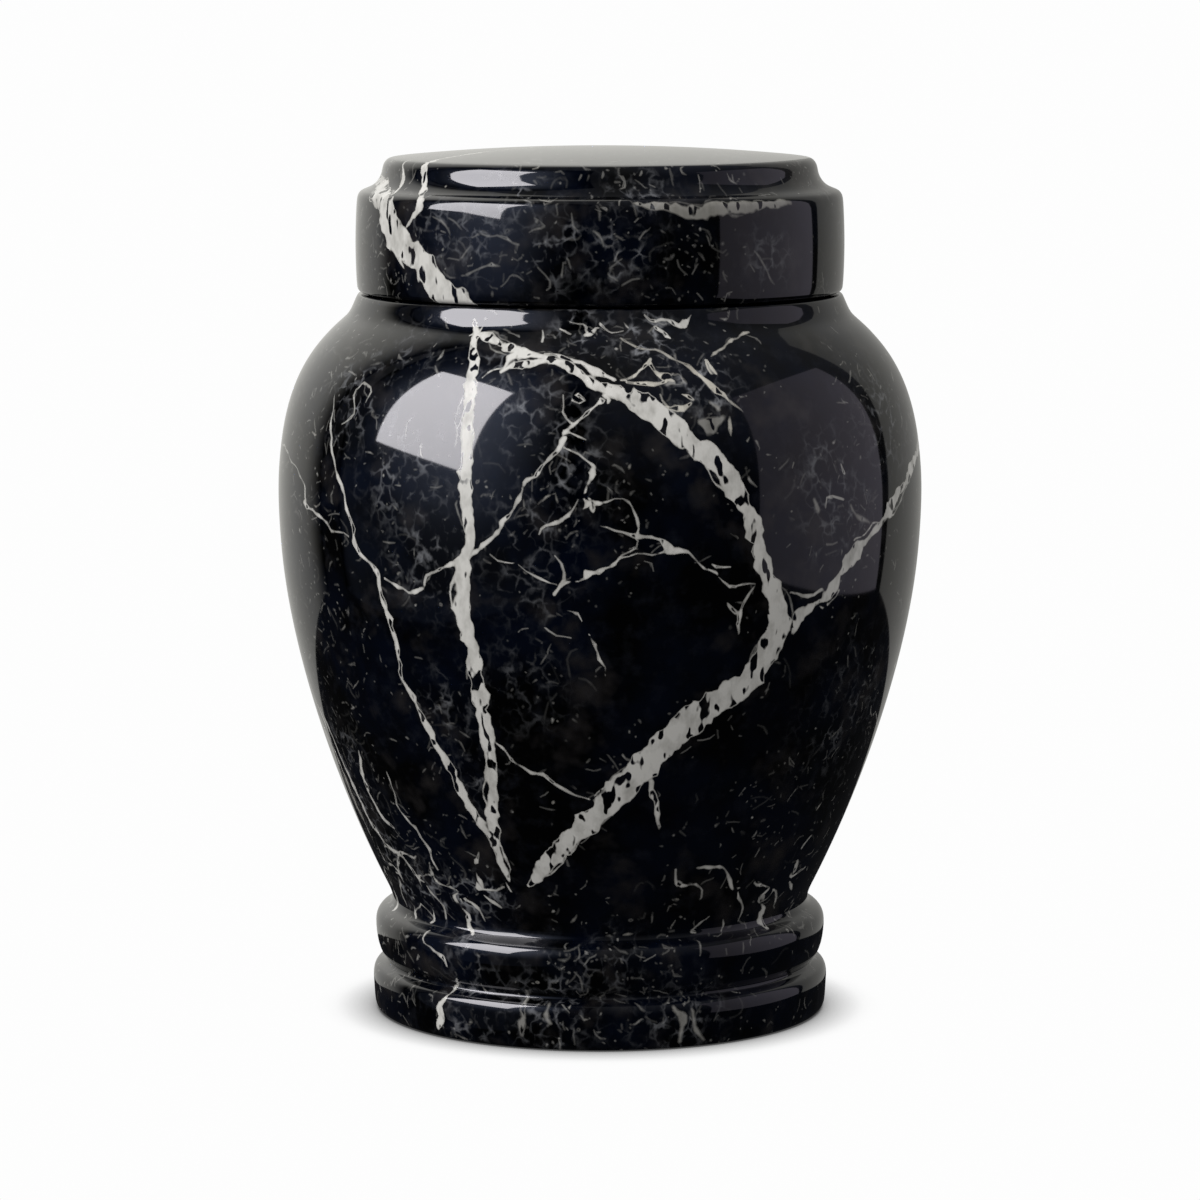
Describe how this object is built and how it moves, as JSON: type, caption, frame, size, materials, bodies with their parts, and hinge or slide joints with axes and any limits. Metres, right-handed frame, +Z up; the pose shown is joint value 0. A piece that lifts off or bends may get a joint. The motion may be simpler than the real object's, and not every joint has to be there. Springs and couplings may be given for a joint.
{
  "type": "cremation urn",
  "caption": "Turned black marble cremation urn with white veins: a hollow vase on a moulded foot, closed by a banded, low-domed lid that lifts off.",
  "frame": {"origin": "centre of the flat underside, on the floor", "axes": "+Z up along the axis of turning, -Y towards the side seen in the picture"},
  "size_m": [0.21, 0.21, 0.283],
  "materials": {
    "body_marble": "polished black marble with white calcite veins",
    "lid_marble": "polished black marble with white calcite veins"
  },
  "bodies": {
    "root": {"urn_body": "body_marble", "urn_lid": "lid_marble"}
  },
  "joints": []
}
